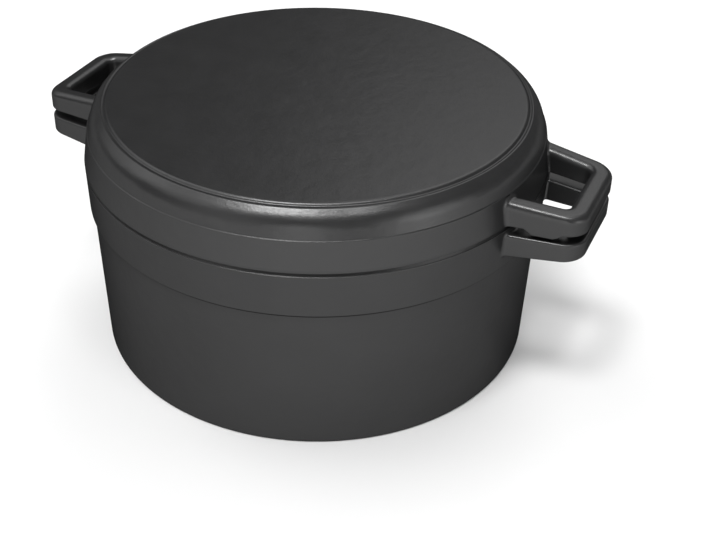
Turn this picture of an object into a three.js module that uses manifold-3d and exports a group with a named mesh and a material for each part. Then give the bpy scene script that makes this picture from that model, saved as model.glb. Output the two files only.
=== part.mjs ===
// Double dutch oven in cast iron: a deep pot, and a shallow skillet that lies upside down on it as its lid.
// Each casting has two loop handles. Lengths are in millimetres, +Z is up, the origin is under the middle
// of the pot and the handles lie along X.
import * as THREE from 'three';
import { mergeVertices } from 'three/addons/utils/BufferGeometryUtils.js';
import Module from 'manifold-3d';

const wasm = await Module();
wasm.setup();

// Sizes that set the whole oven
const rimRadius = 135; // outside of both castings where they meet
const potHeight = 117.6; // from the underside to the rim
const lidHeight = 32.9; // from the seat to the flat top
const seatGap = 0.3; // between the pot's rim and the lid's seat
const rimWidth = 4.5; // width of the pot's rim, which the lid's seat covers
const rimEdge = 1.6; // rounding around the pot's rim
const seatEdge = 0.8; // rounding around the lid's seat

// Pot wall and floor
const collarDraft = 0.7; // how much the collar narrows from the rim down to the step
const stepTop = 91; // height of the upper end of the wall's step
const stepRise = 4;
const stepDepth = 1.3; // how far the wall moves in at the step
const wallDraft = 2.9; // how much the wall narrows from the step down to the base
const baseEdge = 3; // rounding around the underside
const cavityDraft = 4.9; // how much the inside narrows from the mouth to the floor
const floorThickness = 5.2;
const floorCorner = 12; // inside rounding between floor and wall
const mouthEdge = 0.6; // chamfer around the mouth

// Lid's outside: band, shoulder, groove and flat top, from the seat up
const bandDraft = 2.8; // how much the band narrows from the seat up
const bandHeight = 18.1;
const bandLedge = 0.5; // small step in from the band to the side
const sideLean = 2.7; // how much the side narrows from the band up to the shoulder's corner
const shoulderHeight = 26.8; // of the shoulder's corner before it is rounded
const shoulderRound = 14;
const crestInset = 6.4; // from the shoulder's corner in to the crest beside the groove
const crestDrop = 1.1; // how far the crest lies below the flat top
const crestRound = 0.8;
const grooveInset = 1.1; // from the crest in to the groove's bottom
const grooveDepth = 1.6; // below the flat top
const topInset = 1.3; // from the groove's bottom in to the flat top
const topEdge = 0.8; // rounding around the flat top

// Lid's hollow side, and the lip that centres it in the pot's mouth
const lipClearance = 0.8; // between the lip and the pot's mouth
const lipDepth = 2;
const lipWidth = 2.8;
const lipEdge = 0.5; // chamfer under the lip
const hollowDraft = 3.5; // how much the hollow narrows from the lip to the ceiling
const ceilingThickness = 4.8;
const ceilingCorner = 9; // inside rounding between ceiling and wall

// Loop handles in plan, the same on both castings
const handleReach = 34.6; // from the rim's outside to the handle's end
const rootHalfWidth = 38.5; // half the width over a handle at the wall
const endHalfWidth = 32.1; // the same at its end
const endBar = 11.7; // width of the bar across the end
const sideBar = 11.3; // width of the two bars that run out from the wall
const outerCorner = 13;
const innerCorner = 5;
const rootFillet = 3.5; // rounding in plan where a bar meets the wall
const rootMargin = 1.5; // what a bar's root inside the wall has to spare past its fillets and edges
const handleEdge = 3.2; // rounding of the bars' upper edges
const handleLowEdge = 1.3; // height of what is left of that rounding on their lower edges

// Loop handles in height
const lidHandleRoot = 13.9; // thickness at the wall
const lidHandleEnd = 11.3; // thickness at the end
const lidHandleDroop = 1; // fall of the underside from the wall to the end
const potHandleDrop = 5; // from the pot's rim down to the handle's top
const potHandleRoot = 13;
const potHandleEnd = 10.2;
const potHandleDroop = 0.6; // fall of the top from the wall to the end

// Lug under one side bar of each of the lid's handles
const lugStart = 3.8; // from the rim's outside to the lug
const lugLength = 20;
const lugSlope = 4; // length of each of its sloping ends
const lugDepth = 3;

// Fineness of the curves
const turnSteps = 96;
const profileSteps = 2;
const planSteps = 3;
const edgeSteps = 3;

// How far a cutting shape runs past what it cuts
const overrun = 2;

// Radii that follow from the rim, from the pot's wall to the lid's flat top
const collarRadius = rimRadius - collarDraft;
const mouthRadius = rimRadius - rimWidth;
const bandRadius = rimRadius - bandDraft;
const sideRadius = bandRadius - bandLedge;
const shoulderRadius = sideRadius - sideLean;
const crestRadius = shoulderRadius - crestInset;
const grooveRadius = crestRadius - grooveInset;
const topRadius = grooveRadius - topInset;

// A closed mesh as a solid that can be joined and cut
function solid(geometry) {
  const bare = geometry.clone();
  bare.deleteAttribute('normal');
  bare.deleteAttribute('uv');
  const merged = mergeVertices(bare);
  const corners = merged.index.array;
  const triangles = [];
  for (let i = 0; i < corners.length; i += 3) {
    const [a, b, c] = corners.slice(i, i + 3);
    if (a !== b && b !== c && c !== a) triangles.push(a, b, c);
  }
  return new wasm.Manifold(new wasm.Mesh({
    numProp: 3,
    vertProperties: merged.attributes.position.array,
    triVerts: new Uint32Array(triangles),
  }));
}

// A finished casting as a named mesh
function casting(name, body, material) {
  const { vertProperties, triVerts } = body.getMesh();
  const geometry = new THREE.BufferGeometry();
  geometry.setAttribute('position', new THREE.BufferAttribute(vertProperties, 3));
  geometry.setIndex(new THREE.BufferAttribute(triVerts, 1));
  geometry.computeVertexNormals();
  const mesh = new THREE.Mesh(geometry, material);
  mesh.name = name;
  return mesh;
}

// A shape through corners that each have a place and a rounding. The first and last corners are sharp.
function roundedShape(corners) {
  const shape = new THREE.Shape();
  corners.forEach(({ place, rounding }, i) => {
    if (i === 0) {
      shape.moveTo(place.x, place.y);
    } else if (rounding === 0) {
      shape.lineTo(place.x, place.y);
    } else {
      const back = corners.at(i - 1).place.clone().sub(place).normalize();
      const ahead = corners.at(i + 1).place.clone().sub(place).normalize();
      const halfAngle = Math.acos(back.dot(ahead)) / 2;
      const towardsCentre = back.clone().add(ahead).normalize();
      const centre = place.clone().addScaledVector(towardsCentre, rounding / Math.sin(halfAngle));
      const setBack = rounding / Math.tan(halfAngle);
      const startAngle = place.clone().addScaledVector(back, setBack).sub(centre).angle();
      const endAngle = place.clone().addScaledVector(ahead, setBack).sub(centre).angle();
      const clockwise = Math.sin(endAngle - startAngle) < 0;
      shape.lineTo(centre.x + rounding * Math.cos(startAngle), centre.y + rounding * Math.sin(startAngle));
      shape.absarc(centre.x, centre.y, rounding, startAngle, endAngle, clockwise);
    }
  });
  return shape;
}

// A profile turned about Z. Its corners each give a radius, a height and perhaps a rounding.
function turned(profile) {
  const corners = profile.map(([radius, height, rounding = 0]) => (
    { place: new THREE.Vector2(radius, height), rounding }
  ));
  const points = roundedShape(corners).getPoints(profileSteps);
  return solid(new THREE.LatheGeometry(points, turnSteps).rotateX(Math.PI / 2));
}

// Plan of a loop handle: two bars that run out from a round wall, and a bar across their ends. The loop's
// own ends lie inside the wall.
function handlePlan(wall) {
  const end = rimRadius + handleReach;
  const innerEnd = end - endBar;
  const innerEndHalf = endHalfWidth + (rootHalfWidth - endHalfWidth) * (endBar / handleReach) - sideBar;
  const innerRootHalf = rootHalfWidth - sideBar;
  const taper = Math.atan2(rootHalfWidth - endHalfWidth, handleReach);
  const wallLean = Math.asin(innerRootHalf / wall);
  const rootCorner = Math.PI / 2 - taper - wallLean; // between a bar's inner side and the wall
  const rootSpread = rootFillet / Math.tan(rootCorner / 2) + handleEdge + rootMargin;
  const rootDepth = 2 * handleEdge + rootMargin;
  const at = (x, y, rounding) => ({ place: new THREE.Vector2(x, y), rounding });
  const onRound = (radius, y, rounding) => at(Math.sqrt(radius ** 2 - y ** 2), y, rounding);
  return roundedShape([
    onRound(wall - rootDepth, -rootHalfWidth - rootSpread, 0),
    onRound(wall, -rootHalfWidth - rootSpread, 0),
    onRound(wall, -rootHalfWidth, rootFillet),
    at(end, -endHalfWidth, outerCorner),
    at(end, endHalfWidth, outerCorner),
    onRound(wall, rootHalfWidth, rootFillet),
    onRound(wall, rootHalfWidth + rootSpread, 0),
    onRound(wall - rootDepth, rootHalfWidth + rootSpread, 0),
    onRound(wall - rootDepth, innerRootHalf - rootSpread, 0),
    onRound(wall, innerRootHalf - rootSpread, 0),
    onRound(wall, innerRootHalf, rootFillet),
    at(innerEnd, innerEndHalf, innerCorner),
    at(innerEnd, -innerEndHalf, innerCorner),
    onRound(wall, -innerRootHalf, rootFillet),
    onRound(wall, rootSpread - innerRootHalf, 0),
    onRound(wall - rootDepth, rootSpread - innerRootHalf, 0),
  ]);
}

// A handle of even thickness, with rounded edges, that stands on the given height
function evenHandle(wall, thickness, low) {
  const cutOff = handleEdge - handleLowEdge;
  const geometry = new THREE.ExtrudeGeometry(handlePlan(wall), {
    depth: thickness + cutOff - 2 * handleEdge,
    curveSegments: planSteps,
    bevelThickness: handleEdge,
    bevelSize: handleEdge,
    bevelOffset: -handleEdge,
    bevelSegments: edgeSteps,
  });
  geometry.translate(0, 0, low - cutOff + handleEdge);
  return solid(geometry).trimByPlane([0, 0, 1], low);
}

// Lug that hangs from height zero under one side bar, as wide as the bar
function lug(wall) {
  const start = rimRadius + lugStart;
  const end = start + lugLength;
  const side = new THREE.Shape([
    new THREE.Vector2(start, overrun),
    new THREE.Vector2(start, 0),
    new THREE.Vector2(start + lugSlope, -lugDepth),
    new THREE.Vector2(end - lugSlope, -lugDepth),
    new THREE.Vector2(end, 0),
    new THREE.Vector2(end, overrun),
  ]);
  const across = new THREE.ExtrudeGeometry(side, { depth: rootHalfWidth, bevelEnabled: false });
  across.rotateX(Math.PI / 2);
  const bars = new THREE.ExtrudeGeometry(handlePlan(wall), {
    depth: lugDepth + overrun,
    curveSegments: planSteps,
    bevelEnabled: false,
  });
  bars.translate(0, 0, -lugDepth);
  return solid(across).intersect(solid(bars));
}

// Thins an even handle from the wall out to the end, lets it droop, and moves it to its height
function thinned(handle, { height, rootThickness, endThickness, droop }) {
  return handle.warp((vertex) => {
    const outShare = (vertex[0] - rimRadius) / handleReach;
    const heightShare = vertex[2] / rootThickness;
    const thickness = rootThickness + (endThickness - rootThickness) * outShare;
    vertex[2] = height - droop * outShare + thickness * heightShare;
  });
}

// A body with a handle joined on at each end, and its hollow cut out last
function withHandles(body, loop, hollow) {
  const otherLoop = loop.rotate([0, 0, 180]);
  return body.add(loop).add(otherLoop).subtract(hollow);
}

function makePot() {
  const wallRadius = collarRadius - stepDepth;
  const baseRadius = wallRadius - wallDraft;
  const body = turned([
    [0, 0],
    [baseRadius, 0, baseEdge],
    [wallRadius, stepTop - stepRise],
    [collarRadius, stepTop],
    [rimRadius, potHeight, rimEdge],
    [0, potHeight],
  ]);
  const hollow = turned([
    [0, floorThickness],
    [mouthRadius - cavityDraft, floorThickness, floorCorner],
    [mouthRadius, potHeight - mouthEdge],
    [mouthRadius + mouthEdge + overrun, potHeight + overrun],
    [0, potHeight + overrun],
  ]);
  const loop = thinned(evenHandle(collarRadius, potHandleRoot, -potHandleRoot), {
    height: potHeight - potHandleDrop,
    rootThickness: potHandleRoot,
    endThickness: potHandleEnd,
    droop: potHandleDroop,
  });
  const material = new THREE.MeshStandardMaterial({ color: 0x2e2e2f, roughness: 0.55, metalness: 0.5 });
  return casting('pot', withHandles(body, loop, hollow), material);
}

// The lid is drawn from its seat, which is height zero here, and then set on the pot
function makeLid() {
  const lipRadius = mouthRadius - lipClearance;
  const body = turned([
    [0, -lipDepth],
    [lipRadius - lipEdge, -lipDepth],
    [lipRadius, lipEdge - lipDepth],
    [lipRadius, 0],
    [rimRadius, 0, seatEdge],
    [bandRadius, bandHeight],
    [sideRadius, bandHeight],
    [shoulderRadius, shoulderHeight, shoulderRound],
    [crestRadius, lidHeight - crestDrop, crestRound],
    [grooveRadius, lidHeight - grooveDepth],
    [topRadius, lidHeight, topEdge],
    [0, lidHeight],
  ]);
  const lipInside = lipRadius - lipWidth;
  const ceiling = lidHeight - ceilingThickness;
  const hollow = turned([
    [0, -lipDepth - overrun],
    [lipInside, -lipDepth - overrun],
    [lipInside, -lipDepth],
    [lipInside - hollowDraft, ceiling, ceilingCorner],
    [0, ceiling],
  ]);
  const loop = thinned(evenHandle(bandRadius, lidHandleRoot, 0).add(lug(bandRadius)), {
    height: 0,
    rootThickness: lidHandleRoot,
    endThickness: lidHandleEnd,
    droop: lidHandleDroop,
  });
  const material = new THREE.MeshStandardMaterial({ color: 0x333334, roughness: 0.5, metalness: 0.5 });
  const lid = casting('lid', withHandles(body, loop, hollow), material);
  lid.position.z = potHeight + seatGap;
  return lid;
}

const oven = new THREE.Group();
oven.add(makePot(), makeLid());

export default oven;
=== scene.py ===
import math
import bmesh
import bpy
from mathutils import Matrix, Vector


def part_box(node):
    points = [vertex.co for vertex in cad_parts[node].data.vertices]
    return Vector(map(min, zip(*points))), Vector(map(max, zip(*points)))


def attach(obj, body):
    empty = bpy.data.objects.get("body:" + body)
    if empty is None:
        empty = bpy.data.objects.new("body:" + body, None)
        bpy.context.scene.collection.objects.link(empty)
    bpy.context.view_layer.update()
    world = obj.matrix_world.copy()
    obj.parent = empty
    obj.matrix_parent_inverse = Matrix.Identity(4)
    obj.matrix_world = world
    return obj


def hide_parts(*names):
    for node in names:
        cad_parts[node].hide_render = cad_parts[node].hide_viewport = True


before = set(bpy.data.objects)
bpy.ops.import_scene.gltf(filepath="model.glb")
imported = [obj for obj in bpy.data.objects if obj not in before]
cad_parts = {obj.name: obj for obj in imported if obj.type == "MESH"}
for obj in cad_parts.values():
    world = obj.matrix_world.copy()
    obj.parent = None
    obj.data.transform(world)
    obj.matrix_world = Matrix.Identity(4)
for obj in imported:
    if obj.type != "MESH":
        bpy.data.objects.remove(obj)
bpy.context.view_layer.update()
mm = 0.001  # the dictionaries below give lengths in millimetres
mergeDistance = 0.001 * mm  # points closer than this are one point
offMiddle = 1 * mm  # past this a point isn't on the quarter casting's cut sides

# What the frame says: the rim's radius, the pot's height, the handles' ends and the flat top
rimRadius = round(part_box("pot")[1].y / mm, 1)
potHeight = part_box("pot")[1].z / mm
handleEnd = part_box("pot")[1].x / mm
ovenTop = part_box("lid")[1].z / mm
print("frame loaded: rim radius", rimRadius, "pot height", round(potHeight, 2))

# Camera, by where it stands round the oven and how it looks down on it
cameraView = {
    "azimuth": 25.44,
    "distance": 650.48,
    "height": 481.57,
    "pitch": 34.663,
    "roll": 0.344,
    "lens": 63.464,
    "sensor": 36,
    "shift": (0.0587, -0.0100),
    "clipStart": 0.01,
    "clipEnd": 50,
}


def makeCamera(view):
    data = bpy.data.cameras.new("photoCamera")
    data.sensor_width = view["sensor"]
    data.lens = view["lens"]
    data.shift_x, data.shift_y = view["shift"]
    data.clip_start = view["clipStart"]
    data.clip_end = view["clipEnd"]
    camera = bpy.data.objects.new("photoCamera", data)
    azimuth = math.radians(view["azimuth"])
    away = Vector((math.sin(azimuth), -math.cos(azimuth), 0)) * view["distance"] * mm
    place = Matrix.Translation(away + Vector((0, 0, view["height"] * mm)))
    turn = Matrix.Rotation(azimuth, 4, "Z")
    tilt = Matrix.Rotation(math.radians(90 - view["pitch"]), 4, "X")
    lean = Matrix.Rotation(math.radians(view["roll"]), 4, "Z")
    camera.matrix_world = place @ turn @ tilt @ lean
    bpy.context.scene.collection.objects.link(camera)
    bpy.context.scene.camera = camera


makeCamera(cameraView)
print("camera placed")


# The circle that rounds a corner off: its centre, its spokes to the rounding's two ends, and how far
# those ends lie from the corner. The two sides are given as directions away from the corner.
def roundingCircle(corner, back, ahead, rounding):
    halfAngle = back.angle(ahead) / 2
    setBack = rounding / math.tan(halfAngle)
    centre = corner + (back + ahead).normalized() * (rounding / math.sin(halfAngle))
    return centre, corner + back * setBack - centre, corner + ahead * setBack - centre, setBack


# Points round a circle from one spoke to another
def arcPoints(centre, first, last, steps):
    turn = first.angle(last)
    points = []
    for step in range(steps + 1):
        share = step / steps
        mixed = first * math.sin((1 - share) * turn) + last * math.sin(share * turn)
        points.append(centre + mixed / math.sin(turn))
    return points


# A profile of corners, each with its radius, height and rounding. Long stretches get a support point
# beside each rounding, so that smooth shading keeps them straight.
def roundedProfile(corners, arcAngle=12, arcLength=1, fewestSteps=3, support=0.5, longStretch=3):
    points = []
    for index, (radius, height, rounding) in enumerate(corners):
        here = Vector((radius, height))
        if rounding == 0:
            points.append(here)
            continue
        toBack = Vector(corners[index - 1][:2]) - here
        toAhead = Vector(corners[index + 1][:2]) - here
        back, ahead = toBack.normalized(), toAhead.normalized()
        centre, first, last, setBack = roundingCircle(here, back, ahead, rounding)
        turn = first.angle(last)
        steps = max(fewestSteps, round(math.degrees(turn) / arcAngle), round(turn * rounding / arcLength))
        if toBack.length > setBack + longStretch:
            points.append(here + back * (setBack + support))
        points += arcPoints(centre, first, last, steps)
        if toAhead.length > setBack + longStretch:
            points.append(here + ahead * (setBack + support))
    return [tuple(point) for point in points]


# Rows from one profile point up to the next, both left out
def evenRows(start, end, steps):
    return [tuple(Vector(start).lerp(Vector(end), step / steps)) for step in range(1, steps)]


# Both castings' loop handles in plan, and the rows and columns of faces along their bars
loopPlan = {
    "rootHalfWidth": 38.5,
    "endHalfWidth": 32.1,
    "endBar": 11.7,
    "sideBar": 11.3,
    "outerCorner": 13,
    "innerCorner": 5,
    "fillet": 2.4,
    "lowEdge": 0.9,
    "arcSteps": 4,
    "acrossSteps": 4,
    "heightSteps": 6,
    "filletSteps": 8,
    "straightSteps": 12,
    "cornerSteps": 12,
    "endSteps": 6,
    "columnsBefore": 12,
    "columnsAfter": 84,
}
columnsAcross = 2 * loopPlan["arcSteps"] + loopPlan["acrossSteps"]
halfRounding = 45  # degrees; every rounding of a bar's outline turns a right angle

# Where the wall's opening for a bar starts and ends, out from the line through the middles of both handles
openingInner = loopPlan["rootHalfWidth"] - loopPlan["sideBar"] - loopPlan["fillet"]
openingOuter = loopPlan["rootHalfWidth"] + loopPlan["fillet"]


# One side of an outline: a rounding's second half, a straight and the next rounding's first half
def outlineSide(centreA, roundA, stepsA, centreB, roundB, stepsB, facing, straightSteps):
    side = []
    for step in range(stepsA + 1):
        angle = math.radians(facing + halfRounding * (1 - step / stepsA))
        side.append(centreA + Vector((math.cos(angle), math.sin(angle))) * roundA)
    for step in range(1, straightSteps):
        side.append(None)
    for step in range(stepsB):
        angle = math.radians(facing - halfRounding * step / stepsB)
        side.append(centreB + Vector((math.cos(angle), math.sin(angle))) * roundB)
    for step in range(1, straightSteps):
        side[stepsA + step] = side[stepsA].lerp(side[stepsA + straightSteps], step / straightSteps)
    return side


# Outline round a bar from its lower inner corner: up the inner side, over the top, down and back. Each
# point is a place across the bar and a height.
def barOutline(width, height, topRound, lowRound, lowSteps):
    arcSteps = loopPlan["arcSteps"]
    rising, crossing = loopPlan["heightSteps"], loopPlan["acrossSteps"]
    lowInner = Vector((lowRound, lowRound))
    topInner = Vector((topRound, height - topRound))
    topOuter = Vector((width - topRound, height - topRound))
    lowOuter = Vector((width - lowRound, lowRound))
    inner = outlineSide(lowInner, lowRound, lowSteps, topInner, topRound, arcSteps, 180, rising)
    top = outlineSide(topInner, topRound, arcSteps, topOuter, topRound, arcSteps, 90, crossing)
    outer = outlineSide(topOuter, topRound, arcSteps, lowOuter, lowRound, lowSteps, 0, rising)
    low = outlineSide(lowOuter, lowRound, arcSteps, lowInner, lowRound, arcSteps, -90, crossing)
    return inner + top + outer + low


# Where a bar's inner and outer lines start on the round wall, and where they meet the end bar's lines
def planCorners(wall):
    outerHalf, innerHalf = loopPlan["rootHalfWidth"], loopPlan["rootHalfWidth"] - loopPlan["sideBar"]
    innerEnd = handleEnd - loopPlan["endBar"]
    taper = (outerHalf - loopPlan["endHalfWidth"]) / (handleEnd - rimRadius)
    innerEndHalf = loopPlan["endHalfWidth"] + taper * loopPlan["endBar"] - loopPlan["sideBar"]
    innerRoot = Vector((math.sqrt(wall ** 2 - innerHalf ** 2), innerHalf))
    outerRoot = Vector((math.sqrt(wall ** 2 - outerHalf ** 2), outerHalf))
    innerCorner = Vector((innerEnd, innerEndHalf))
    outerCorner = Vector((handleEnd, loopPlan["endHalfWidth"]))
    return innerRoot, outerRoot, innerCorner, outerCorner


# Plan points round a corner, from the line that comes from the root to the end bar's line
def cornerPoints(root, corner, rounding, steps):
    back, ahead = (root - corner).normalized(), Vector((0, -1))
    centre, first, last, _ = roundingCircle(corner, back, ahead, rounding)
    return arcPoints(centre, first, last, steps)


# Spins a profile a quarter of the way round, with closer columns where the bar meets the wall
def spinQuarter(profile, fromAngle, toAngle):
    bm = bmesh.new()
    ring = [bm.verts.new((radius * mm, 0, height * mm)) for radius, height in profile]
    ring += [bm.edges.new(pair) for pair in zip(ring, ring[1:])]
    stretches = (
        (fromAngle, loopPlan["columnsBefore"]),
        (toAngle - fromAngle, columnsAcross),
        (math.pi / 2 - toAngle, loopPlan["columnsAfter"]),
    )
    for angle, steps in stretches:
        made = bmesh.ops.spin(
            bm, geom=ring, cent=(0, 0, 0), axis=(0, 0, 1), dvec=(0, 0, 0), angle=angle, steps=steps,
            use_merge=False
        )
        ring = made["geom_last"]
    bmesh.ops.remove_doubles(bm, verts=bm.verts, dist=mergeDistance)
    return bm


# A quarter casting without the faces that lie where a bar leaves the wall: those between two heights and
# outside the given radius
def openQuarter(profile, wall, low, top, outside):
    fromAngle, toAngle = math.asin(openingInner / wall), math.asin(openingOuter / wall)
    bm = spinQuarter(profile, fromAngle, toAngle)
    inOpening = []
    for face in bm.faces:
        middle = face.calc_center_median() / mm
        beside = fromAngle < math.atan2(middle.y, middle.x) < toAngle
        if beside and low < middle.z < top and middle.xy.length > outside:
            inOpening.append(face)
    bmesh.ops.delete(bm, geom=inOpening, context="FACES")
    return bm


# The edges round the opening in the wall, and its corners in order from the lower inner one upwards
def openingLoop(bm, startPoint, nextPoint):
    openEdges = [edge for edge in bm.edges if edge.is_boundary]
    openEdges = [edge for edge in openEdges if min(min(vert.co.xy) for vert in edge.verts) > offMiddle]
    corners = {vert for edge in openEdges for vert in edge.verts}
    start = min(corners, key=lambda vert: (vert.co / mm - startPoint).length)
    firstWays = [edge for edge in start.link_edges if edge in openEdges]
    way = min(firstWays, key=lambda edge: (edge.other_vert(start).co / mm - nextPoint).length)
    loop, edges, here, came = [start], [], start, None
    while True:
        if came is not None:
            way = next(edge for edge in here.link_edges if edge in openEdges and edge is not came)
        edges.append(way)
        here, came = way.other_vert(here), way
        if here is start:
            return loop, edges
        loop.append(here)


# Extrudes the opening's edges into one more ring of the bar and moves its corners to their places
def nextRing(bm, loop, edges, places):
    made = bmesh.ops.extrude_edge_only(bm, edges=edges)["geom"]
    fresh = {item for item in made if isinstance(item, bmesh.types.BMVert)}
    ring = []
    for vert in loop:
        ring.append(next(edge.other_vert(vert) for edge in vert.link_edges if edge.other_vert(vert) in fresh))
    for vert, place in zip(ring, places):
        vert.co = place * mm
    ringEdges = []
    for first, second in zip(ring, ring[1:] + ring[:1]):
        ringEdges.append(next(edge for edge in first.link_edges if edge.other_vert(first) is second))
    return ring, ringEdges


# Draws one bar of a loop handle out of the opening in the wall, round the corner and on to the middle
# of the end bar
def drawBar(bm, wall, sizes, wallRadiusAt, openingStart, openingNext, wallPlaces):
    innerRoot, outerRoot, innerCorner, outerCorner = planCorners(wall)
    plan = loopPlan
    innerTurn = cornerPoints(innerRoot, innerCorner, plan["innerCorner"], plan["cornerSteps"])
    outerTurn = cornerPoints(outerRoot, outerCorner, plan["outerCorner"], plan["cornerSteps"])
    outline = barOutline(plan["sideBar"], sizes["root"], sizes["edge"], sizes["lowEdge"], sizes["lowSteps"])
    shares = [(point.x / plan["sideBar"], point.y / sizes["root"]) for point in outline]

    def lifted(planPoint, heightShare):
        outShare = (planPoint.x - rimRadius) / (handleEnd - rimRadius)
        thickness = sizes["root"] + (sizes["end"] - sizes["root"]) * outShare
        low = sizes["low"] + (sizes["lowEnd"] - sizes["low"]) * outShare
        return Vector((planPoint.x, planPoint.y, low + thickness * heightShare))

    def section(innerPoint, outerPoint):
        return [lifted(innerPoint.lerp(outerPoint, across), up) for across, up in shares]

    onWall, alongBar = [], []
    for across, up in shares:
        start = innerRoot.lerp(outerRoot, across)
        along = (innerTurn[0].lerp(outerTurn[0], across) - start).normalized()
        radius = wallRadiusAt(lifted(start, up).z)
        reachBack = start.dot(along)
        step = -reachBack + math.sqrt(reachBack ** 2 - start.length_squared + radius ** 2)
        onWall.append(lifted(start + along * step, up))
        alongBar.append(lifted(start + along * (step + plan["fillet"]), up))

    loop, edges = openingLoop(bm, openingStart, openingNext)
    for vert, place in zip(loop, wallPlaces(loop)):
        vert.co = place * mm
    starts = [vert.co / mm for vert in loop]
    for step in range(1, plan["filletSteps"] + 1):
        t = step / plan["filletSteps"]
        places = []
        for start, middle, end in zip(starts, onWall, alongBar):
            places.append(start * (1 - t) ** 2 + middle * (2 * t * (1 - t)) + end * t ** 2)
        loop, edges = nextRing(bm, loop, edges, places)
    turnStart = section(innerTurn[0], outerTurn[0])
    for step in range(1, plan["straightSteps"] + 1):
        share = step / plan["straightSteps"]
        places = [a.lerp(b, share) for a, b in zip(alongBar, turnStart)]
        loop, edges = nextRing(bm, loop, edges, places)
    for innerPoint, outerPoint in zip(innerTurn[1:], outerTurn[1:]):
        loop, edges = nextRing(bm, loop, edges, section(innerPoint, outerPoint))
    innerMiddle, outerMiddle = Vector((innerCorner.x, 0)), Vector((outerCorner.x, 0))
    for step in range(1, plan["endSteps"] + 1):
        share = step / plan["endSteps"]
        places = section(innerTurn[-1].lerp(innerMiddle, share), outerTurn[-1].lerp(outerMiddle, share))
        loop, edges = nextRing(bm, loop, edges, places)


# A point on a round wall, at its distance from the line through the middles of both handles
def onRound(radius, half, height):
    return Vector((math.sqrt(radius ** 2 - half ** 2), half, height))


# Mirrors a quarter casting to the whole one
def mirrorTwice(bm):
    for axis in ("Y", "X"):
        everything = bm.verts[:] + bm.edges[:] + bm.faces[:]
        bmesh.ops.mirror(bm, geom=everything, matrix=Matrix(), merge_dist=mergeDistance, axis=axis)
    bmesh.ops.remove_doubles(bm, verts=bm.verts, dist=mergeDistance)


# Puts a whole casting in the scene as one closed mesh
def finishCasting(bm, name, body, material):
    bmesh.ops.recalc_face_normals(bm, faces=bm.faces)
    openEdges = sum(1 for edge in bm.edges if not edge.is_manifold)
    mesh = bpy.data.meshes.new(name)
    bm.to_mesh(mesh)
    bm.free()
    mesh.polygons.foreach_set("use_smooth", [True] * len(mesh.polygons))
    mesh.materials.append(material)
    casting = bpy.data.objects.new(name, mesh)
    bpy.context.scene.collection.objects.link(casting)
    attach(casting, body)
    print(name, "made:", len(mesh.polygons), "faces,", openEdges, "open edges")
    return casting


# Nodes of a tree, with their settings and input values, and the links between them
def addNode(tree, kind, inputs=(), **settings):
    node = tree.nodes.new(kind)
    for name, value in settings.items():
        setattr(node, name, value)
    for name, value in dict(inputs).items():
        node.inputs[name].default_value = value
    return node


# Sand-cast grain, lumps and wipe marks, and the blotches that seasoning leaves, with scales per metre
grainValues = {
    "grainDetail": 4.0,
    "grainRoughness": 0.6,
    "lumpScale": 130.0,
    "lumpDetail": 3.0,
    "lumpRoughness": 0.5,
    "lumpShare": 4.0,
    "blotchDetail": 3.0,
    "blotchRoughness": 0.5,
    "blotchDistortion": 0.2,
    "blotchRange": (0.2, 0.8),
    "wipeTurn": 0.5,
    "wipeScale": (420.0, 70.0, 70.0),
    "wipeDetail": 3.0,
    "wipeRoughness": 0.55,
}


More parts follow.
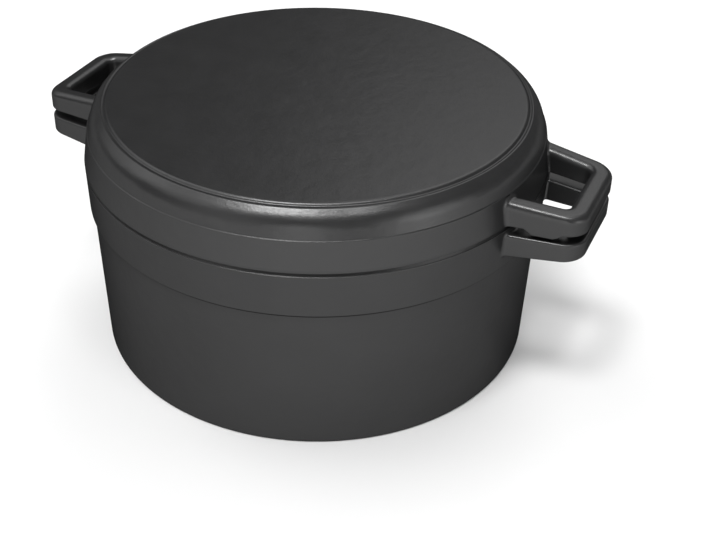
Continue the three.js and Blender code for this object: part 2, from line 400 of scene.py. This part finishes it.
# One group for both irons, each with its own sizes
def makeCastGrain(values):
    group = bpy.data.node_groups.new("castGrain", "ShaderNodeTree")
    face = group.interface
    for name in ("Grain Size", "Blotch Size", "Wipe"):
        face.new_socket(name=name, in_out="INPUT", socket_type="NodeSocketFloat")
    for name in ("Blotch", "Height"):
        face.new_socket(name=name, in_out="OUTPUT", socket_type="NodeSocketFloat")
    entry = group.nodes.new("NodeGroupInput")
    leave = group.nodes.new("NodeGroupOutput")
    link = group.links.new
    place = addNode(group, "ShaderNodeTexCoord").outputs["Object"]

    # A noise scale from a size in millimetres
    def perMetre(socket):
        node = addNode(group, "ShaderNodeMath", {0: 1 / mm}, operation="DIVIDE")
        link(socket, node.inputs[1])
        return node.outputs[0]

    def addNoise(kind, vector, **more):
        inputs = {"Detail": values[kind + "Detail"], "Roughness": values[kind + "Roughness"], **more}
        noise = addNode(group, "ShaderNodeTexNoise", inputs)
        link(vector, noise.inputs["Vector"])
        return noise

    grain = addNoise("grain", place)
    link(perMetre(entry.outputs["Grain Size"]), grain.inputs["Scale"])
    lumps = addNoise("lump", place, Scale=values["lumpScale"])
    blotch = addNoise("blotch", place, Distortion=values["blotchDistortion"])
    link(perMetre(entry.outputs["Blotch Size"]), blotch.inputs["Scale"])
    blotchLow, blotchHigh = values["blotchRange"]
    spread = addNode(group, "ShaderNodeMapRange", {"From Min": blotchLow, "From Max": blotchHigh})
    link(blotch.outputs["Fac"], spread.inputs["Value"])

    stretching = {"Rotation": (0.0, 0.0, values["wipeTurn"]), "Scale": values["wipeScale"]}
    stretch = addNode(group, "ShaderNodeMapping", stretching)
    link(place, stretch.inputs["Vector"])
    wipe = addNoise("wipe", stretch.outputs["Vector"], Scale=1.0)
    wipeAmount = addNode(group, "ShaderNodeMath", operation="MULTIPLY")
    link(wipe.outputs["Fac"], wipeAmount.inputs[0])
    link(entry.outputs["Wipe"], wipeAmount.inputs[1])

    lumpPart = addNode(group, "ShaderNodeMath", {1: values["lumpShare"]}, operation="MULTIPLY")
    link(lumps.outputs["Fac"], lumpPart.inputs[0])
    height = addNode(group, "ShaderNodeMath", operation="ADD")
    link(grain.outputs["Fac"], height.inputs[0])
    link(lumpPart.outputs[0], height.inputs[1])
    heightAll = addNode(group, "ShaderNodeMath", operation="ADD")
    link(height.outputs[0], heightAll.inputs[0])
    link(wipeAmount.outputs[0], heightAll.inputs[1])
    link(spread.outputs["Result"], leave.inputs["Blotch"])
    link(heightAll.outputs[0], leave.inputs["Height"])
    return group


castGrain = makeCastGrain(grainValues)

# Both irons' finish, and each one's sizes of grain and blotches in millimetres
ironFinish = {
    "dark": (0.0165, 0.0165, 0.0168, 1),
    "light": (0.0205, 0.0205, 0.0209, 1),
    "smooth": 0.28,
    "rough": 0.31,
    "specular": 0.85,
    "glossFade": 2.0,
    "bumpDepth": 0.045,
}
potGrain = {"Grain Size": 1.1, "Blotch Size": 26.0, "Wipe": 0.2}
lidGrain = {"Grain Size": 1.1, "Blotch Size": 22.0, "Wipe": 0.6}


def makeIron(name, finish, grainSizes):
    material = bpy.data.materials.new(name)
    material.use_nodes = True
    tree = material.node_tree
    link = tree.links.new
    shader = tree.nodes["Principled BSDF"]
    shader.inputs["Specular IOR Level"].default_value = finish["specular"]
    grain = addNode(tree, "ShaderNodeGroup", grainSizes, node_tree=castGrain)
    colour = addNode(tree, "ShaderNodeMix", data_type="RGBA")
    colour.inputs["A"].default_value = finish["dark"]
    colour.inputs["B"].default_value = finish["light"]
    link(grain.outputs["Blotch"], colour.inputs["Factor"])
    link(colour.outputs["Result"], shader.inputs["Base Color"])
    gloss = addNode(tree, "ShaderNodeMapRange", {"To Min": finish["smooth"], "To Max": finish["rough"]})
    link(grain.outputs["Blotch"], gloss.inputs["Value"])
    link(gloss.outputs["Result"], shader.inputs["Roughness"])
    bump = addNode(tree, "ShaderNodeBump", {"Strength": 1.0, "Distance": finish["bumpDepth"] * mm})
    link(grain.outputs["Height"], bump.inputs["Height"])
    link(bump.outputs["Normal"], shader.inputs["Normal"])

    # The cast skin's small hollows hide each other at a flat angle, so its gloss fades there
    facing = addNode(tree, "ShaderNodeLayerWeight", {"Blend": 0.5})
    headOn = addNode(tree, "ShaderNodeMath", {0: 1.0}, operation="SUBTRACT")
    link(facing.outputs["Facing"], headOn.inputs[1])
    glossShare = addNode(tree, "ShaderNodeMath", {1: finish["glossFade"]}, operation="POWER")
    link(headOn.outputs[0], glossShare.inputs[0])
    dull = addNode(tree, "ShaderNodeBsdfDiffuse")
    link(colour.outputs["Result"], dull.inputs["Color"])
    both = addNode(tree, "ShaderNodeMixShader")
    link(glossShare.outputs[0], both.inputs["Fac"])
    link(dull.outputs["BSDF"], both.inputs[1])
    link(shader.outputs["BSDF"], both.inputs[2])
    link(both.outputs["Shader"], tree.nodes["Material Output"].inputs["Surface"])
    return material


potIron = makeIron("potIron", ironFinish, potGrain)
lidIron = makeIron("lidIron", ironFinish, lidGrain)
print("iron materials made")

# The pot: profile from the middle of the underside round the rim to the middle of its floor
potShape = {
    "collarDraft": 0.7,
    "stepTop": 91,
    "stepRise": 1.8,
    "stepDepth": 1.9,
    "stepEase": 0.7,
    "wallDraft": 2.7,
    "baseEdge": 1.6,
    "rimBevel": 2.6,
    "rimInset": 1.6,
    "rimEdge": 0.3,
    "rimWidth": 4.5,
    "mouthEdge": 0.7,
    "cavityDraft": 5.5,
    "floorThickness": 5.2,
    "floorCorner": 12,
    "handleDrop": 5,
    "handleRoot": 13,
    "handleEndThickness": 10.2,
    "handleDroop": 0.6,
    "handleEdge": 1.6,
    "filletAbove": 2.7,
}


def makePot(shape, plan):
    collar = rimRadius - shape["collarDraft"]
    wallFoot = collar - shape["stepDepth"]
    base = wallFoot - shape["wallDraft"]
    mouth = rimRadius - shape["rimWidth"]
    wallMiddle = (mouth + collar) / 2
    handleTop = potHeight - shape["handleDrop"]
    sizes = {
        "root": shape["handleRoot"],
        "end": shape["handleEndThickness"],
        "low": handleTop - shape["handleRoot"],
        "lowEnd": handleTop - shape["handleDroop"] - shape["handleEndThickness"],
        "edge": shape["handleEdge"],
        "lowEdge": plan["lowEdge"],
        "lowSteps": plan["arcSteps"],
    }
    openingLow = sizes["low"] - plan["fillet"]
    openingTop = handleTop + shape["filletAbove"]
    bevelLow = potHeight - shape["rimBevel"]
    rows = 2 * plan["arcSteps"] + plan["heightSteps"]

    def wallRadiusAt(height):
        return rimRadius - shape["collarDraft"] * (potHeight - height) / (potHeight - shape["stepTop"])

    lowPoint = (wallRadiusAt(openingLow), openingLow)
    topPoint = (wallRadiusAt(openingTop), openingTop)
    profile = roundedProfile([
        (0, 0, 0),
        (base, 0, shape["baseEdge"]),
        (wallFoot, shape["stepTop"] - shape["stepRise"], shape["stepEase"]),
        (collar, shape["stepTop"], shape["stepEase"]),
        (*lowPoint, 0),
        *[(*point, 0) for point in evenRows(lowPoint, topPoint, rows)],
        (*topPoint, 0),
        (wallRadiusAt(bevelLow), bevelLow, shape["rimEdge"]),
        (rimRadius - shape["rimInset"], potHeight, shape["rimEdge"]),
        (mouth, potHeight, shape["mouthEdge"]),
        (mouth - shape["cavityDraft"], shape["floorThickness"], shape["floorCorner"]),
        (0, shape["floorThickness"], 0),
    ])
    bm = openQuarter(profile, collar, openingLow, openingTop, wallMiddle)

    def wallPlaces(loop):
        across = openingOuter - openingInner
        topRound, lowRound = shape["handleEdge"] + plan["fillet"], plan["lowEdge"] + plan["fillet"]
        outline = barOutline(across, openingTop - openingLow, topRound, lowRound, plan["arcSteps"])
        places = []
        for point in outline:
            height = openingLow + point.y
            places.append(onRound(wallRadiusAt(height), openingInner + point.x, height))
        return places

    start = onRound(collar, openingInner, openingLow)
    following = onRound(collar, openingInner, openingTop)
    drawBar(bm, collar, sizes, wallRadiusAt, start, following, wallPlaces)
    mirrorTwice(bm)
    pot = finishCasting(bm, "potCasting", "pot", potIron)
    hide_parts("pot")


makePot(potShape, loopPlan)

# The lid: profile from the middle of its ceiling round the lip, the seat, the band and the shoulder to
# the middle of the flat top. Heights are above its seat.
lidShape = {
    "height": 32.9,
    "seatEdge": 0.4,
    "bandDraft": 2.8,
    "bandHeight": 17.4,
    "bandLedge": 0.6,
    "ledgeRise": 0.52,
    "ledgeEdge": 0.28,
    "sideLean": 2.7,
    "shoulderHeight": 26.8,
    "shoulderRound": 14,
    "crestInset": 5.8,
    "crestDrop": 1.1,
    "crestRound": 1.2,
    "grooveInset": 1.7,
    "grooveDepth": 1.7,
    "grooveRound": 1.0,
    "topInset": 1.3,
    "topEdge": 2.1,
    "seatInset": 2.4,
    "lipClearance": 0.8,
    "lipDepth": 2,
    "lipWidth": 2.8,
    "lipEdge": 0.5,
    "lipRoot": 0.2,
    "hollowDraft": 3.5,
    "ceilingThickness": 4.8,
    "ceilingCorner": 9,
    "handleRoot": 13.9,
    "handleEndThickness": 11.3,
    "handleDroop": 1,
    "handleEdge": 4.4,
    "filletAbove": 2.7,
    "filletCorner": 0.7,
    "lowSteps": 7,
    "lugStart": 3.8,
    "lugLength": 20,
    "lugSlope": 4,
    "lugDepth": 3,
    "lugMargin": 0.1,
}


def makeLid(shape, plan):
    seat = ovenTop - shape["height"]
    band = rimRadius - shape["bandDraft"]
    side = band - shape["bandLedge"]
    shoulder = side - shape["sideLean"]
    crest = shoulder - shape["crestInset"]
    groove = crest - shape["grooveInset"]
    flatTop = groove - shape["topInset"]
    bandHeight = shape["bandHeight"]
    lip = rimRadius - potShape["rimWidth"] - shape["lipClearance"]
    hollow = lip - shape["lipWidth"]
    ceiling = shape["height"] - shape["ceilingThickness"]
    seatEdge = shape["seatEdge"]
    sizes = {
        "root": shape["handleRoot"],
        "end": shape["handleEndThickness"],
        "low": seat,
        "lowEnd": seat - shape["handleDroop"],
        "edge": shape["handleEdge"],
        "lowEdge": plan["lowEdge"],
        "lowSteps": shape["lowSteps"],
    }
    openingTop = shape["handleRoot"] + shape["filletAbove"]
    rows = plan["heightSteps"] + plan["arcSteps"]

    def bandRadiusAt(height):
        return rimRadius - shape["bandDraft"] * (height - seatEdge) / (bandHeight - seatEdge)

    def arcRows(radius, height, size, fromDegrees, toDegrees, steps):
        points = []
        for step in range(steps + 1):
            angle = math.radians(fromDegrees + (toDegrees - fromDegrees) * step / steps)
            points.append((radius + size * math.cos(angle), height + size * math.sin(angle), 0))
        return points

    seatRow = (rimRadius - shape["seatInset"], 0)
    edgeRows = arcRows(rimRadius - seatEdge, seatEdge, seatEdge, -90, 0, sizes["lowSteps"] - 1)
    topRow = (bandRadiusAt(openingTop), openingTop)
    profile = roundedProfile([
        (0, ceiling, 0),
        (hollow - shape["hollowDraft"], ceiling, shape["ceilingCorner"]),
        (hollow, -shape["lipDepth"], shape["lipEdge"]),
        (lip, -shape["lipDepth"], shape["lipEdge"]),
        (lip, 0, shape["lipRoot"]),
        (*seatRow, 0),
        *edgeRows,
        *[(*point, 0) for point in evenRows(edgeRows[-1][:2], topRow, rows)],
        (*topRow, 0),
        (band, bandHeight, shape["ledgeEdge"]),
        (side, bandHeight + shape["ledgeRise"], shape["ledgeEdge"]),
        (shoulder, shape["shoulderHeight"], shape["shoulderRound"]),
        (crest, shape["height"] - shape["crestDrop"], shape["crestRound"]),
        (groove, shape["height"] - shape["grooveDepth"], shape["grooveRound"]),
        (flatTop, shape["height"], shape["topEdge"]),
        (0, shape["height"], 0),
    ])
    profile = [(radius, seat + height) for radius, height in profile]
    bm = openQuarter(profile, band, seat - shape["lipDepth"], seat + openingTop, seatRow[0])

    def wallRadiusAt(height):
        return bandRadiusAt(max(height - seat, seatEdge))

    # Seat and edge rows keep their places; the rows above follow the outline with its rounded top corners
    def wallPlaces(loop):
        across = openingOuter - openingInner
        rounding = shape["handleEdge"] + plan["fillet"] * shape["filletCorner"]
        outline = barOutline(across, openingTop, rounding, 0, sizes["lowSteps"])
        sideRows = sizes["lowSteps"] + plan["heightSteps"]
        lowest = outline[sideRows].y
        places = []
        lowCorner = len(outline) - columnsAcross
        for index, (vert, point) in enumerate(zip(loop, outline)):
            here = vert.co / mm
            rung = index if index <= lowCorner // 2 else lowCorner - index
            if index > lowCorner or rung <= sizes["lowSteps"]:
                half = openingInner + point.x if index <= lowCorner else here.y
                radius = here.xy.length
                height = here.z
            else:
                up = point.y
                if rung <= sideRows:
                    share = (rung - sizes["lowSteps"]) / plan["heightSteps"]
                    up = seatEdge + (lowest - seatEdge) * share
                half = openingInner + point.x
                height = seat + up
                radius = wallRadiusAt(height)
            places.append(onRound(radius, half, height))
        return places

    start = onRound(seatRow[0], openingInner, seat)
    following = onRound(rimRadius, openingInner, seat)
    drawBar(bm, band, sizes, wallRadiusAt, start, following, wallPlaces)
    mirrorTwice(bm)

    # A lug hangs under one side bar of each handle
    lugStart = rimRadius + shape["lugStart"]
    for vert in bm.verts:
        out = abs(vert.co.x) / mm - lugStart
        ramp = min(out, shape["lugLength"] - out) / shape["lugSlope"]
        droop = shape["handleDroop"] * (out + shape["lugStart"]) / (handleEnd - rimRadius)
        underside = seat + plan["lowEdge"] - droop
        if vert.co.x * vert.co.y < 0 and ramp > 0 and vert.co.z / mm < underside + shape["lugMargin"]:
            vert.co.z -= shape["lugDepth"] * min(ramp, 1) * mm
    lid = finishCasting(bm, "lidCasting", "lid", lidIron)
    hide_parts("lid")


makeLid(lidShape, loopPlan)

# Floor and studio light
studio = {
    "floorSize": 60.0,
    "floorColour": (0.78, 0.78, 0.78, 1),
    "floorRoughness": 0.9,
    "floorSpecular": 0.1,
    "floorLift": 0.03,
    "worldColour": (1, 1, 1, 1),
    "worldStrength": 0.12,
}


def makeFloor(values):
    bm = bmesh.new()
    bmesh.ops.create_grid(bm, x_segments=1, y_segments=1, size=values["floorSize"] / 2)
    mesh = bpy.data.meshes.new("studioFloor")
    bm.to_mesh(mesh)
    bm.free()
    material = bpy.data.materials.new("paleFloor")
    material.use_nodes = True
    tree = material.node_tree
    link = tree.links.new
    shader = tree.nodes["Principled BSDF"]
    shader.inputs["Base Color"].default_value = values["floorColour"]
    shader.inputs["Roughness"].default_value = values["floorRoughness"]
    shader.inputs["Specular IOR Level"].default_value = values["floorSpecular"]

    # The floor glows a little where it is seen, directly or in the iron, but the glow lights nothing
    lift = addNode(tree, "ShaderNodeEmission", {"Color": (1, 1, 1, 1)})
    rays = addNode(tree, "ShaderNodeLightPath")
    seen = addNode(tree, "ShaderNodeMath", operation="MAXIMUM")
    link(rays.outputs["Is Camera Ray"], seen.inputs[0])
    link(rays.outputs["Is Glossy Ray"], seen.inputs[1])
    seenToo = addNode(tree, "ShaderNodeMath", operation="MAXIMUM")
    link(seen.outputs[0], seenToo.inputs[0])
    link(rays.outputs["Is Transmission Ray"], seenToo.inputs[1])
    amount = addNode(tree, "ShaderNodeMath", {1: values["floorLift"]}, operation="MULTIPLY")
    link(seenToo.outputs[0], amount.inputs[0])
    link(amount.outputs[0], lift.inputs["Strength"])
    both = addNode(tree, "ShaderNodeAddShader")
    link(shader.outputs["BSDF"], both.inputs[0])
    link(lift.outputs["Emission"], both.inputs[1])
    link(both.outputs["Shader"], tree.nodes["Material Output"].inputs["Surface"])
    mesh.materials.append(material)
    floor = bpy.data.objects.new("studioFloor", mesh)
    bpy.context.scene.collection.objects.link(floor)


makeFloor(studio)

# Soft lamps, each by its direction from the oven, how wide it looks from there and how strongly it lights a
# surface that faces it
softLamps = {
    "keyMiddle": {"azimuth": 13, "elevation": 69, "spread": 10, "strength": 0.60},
    "keyLeft": {"azimuth": -18, "elevation": 68, "spread": 13, "strength": 1.12},
    "keyHigh": {"azimuth": 32, "elevation": 72, "spread": 10, "strength": 0.16},
    "highRight": {"azimuth": 65, "elevation": 68, "spread": 14, "strength": 0.36},
    "highBack": {"azimuth": 150, "elevation": 68, "spread": 30, "strength": 0.44},
    "highLeft": {"azimuth": 255, "elevation": 68, "spread": 25, "strength": 0.20},
    "backRight": {"azimuth": 182, "elevation": 37, "spread": 40, "strength": 0.88},
    "sideLeft": {"azimuth": 300, "elevation": 54, "spread": 58, "strength": 0.62},
    "backLeft": {"azimuth": 265, "elevation": 33, "spread": 46, "strength": 0.64},
    "lowLeft": {"azimuth": -20, "elevation": 12, "spread": 40, "strength": 0.15},
    "lowFront": {"azimuth": 18, "elevation": 8, "spread": 24, "strength": 0.19},
    "lowGlint": {"azimuth": 76, "elevation": 4, "spread": 16, "strength": 0.12},
    "lowRight": {"azimuth": 80, "elevation": 8, "spread": 44, "strength": 0.66},
}


def makeSoftLamp(name, values):
    data = bpy.data.lights.new(name, "SUN")
    data.angle = math.radians(values["spread"])
    data.energy = values["strength"]
    light = bpy.data.objects.new(name, data)
    azimuth, elevation = math.radians(values["azimuth"]), math.radians(values["elevation"])
    level = math.cos(elevation)
    way = Vector((math.sin(azimuth) * level, -math.cos(azimuth) * level, math.sin(elevation)))
    turn = way.to_track_quat("Z", "Y").to_matrix().to_4x4()
    light.matrix_world = Matrix.Translation(way) @ turn
    bpy.context.scene.collection.objects.link(light)


for lampName, lampValues in softLamps.items():
    makeSoftLamp(lampName, lampValues)


def makeWorld(values):
    world = bpy.data.worlds.new("studioWorld")
    world.use_nodes = True
    background = world.node_tree.nodes["Background"]
    background.inputs["Color"].default_value = values["worldColour"]
    background.inputs["Strength"].default_value = values["worldStrength"]
    bpy.context.scene.world = world


makeWorld(studio)
bpy.context.scene.view_settings.view_transform = "Standard"
print("floor and light made")
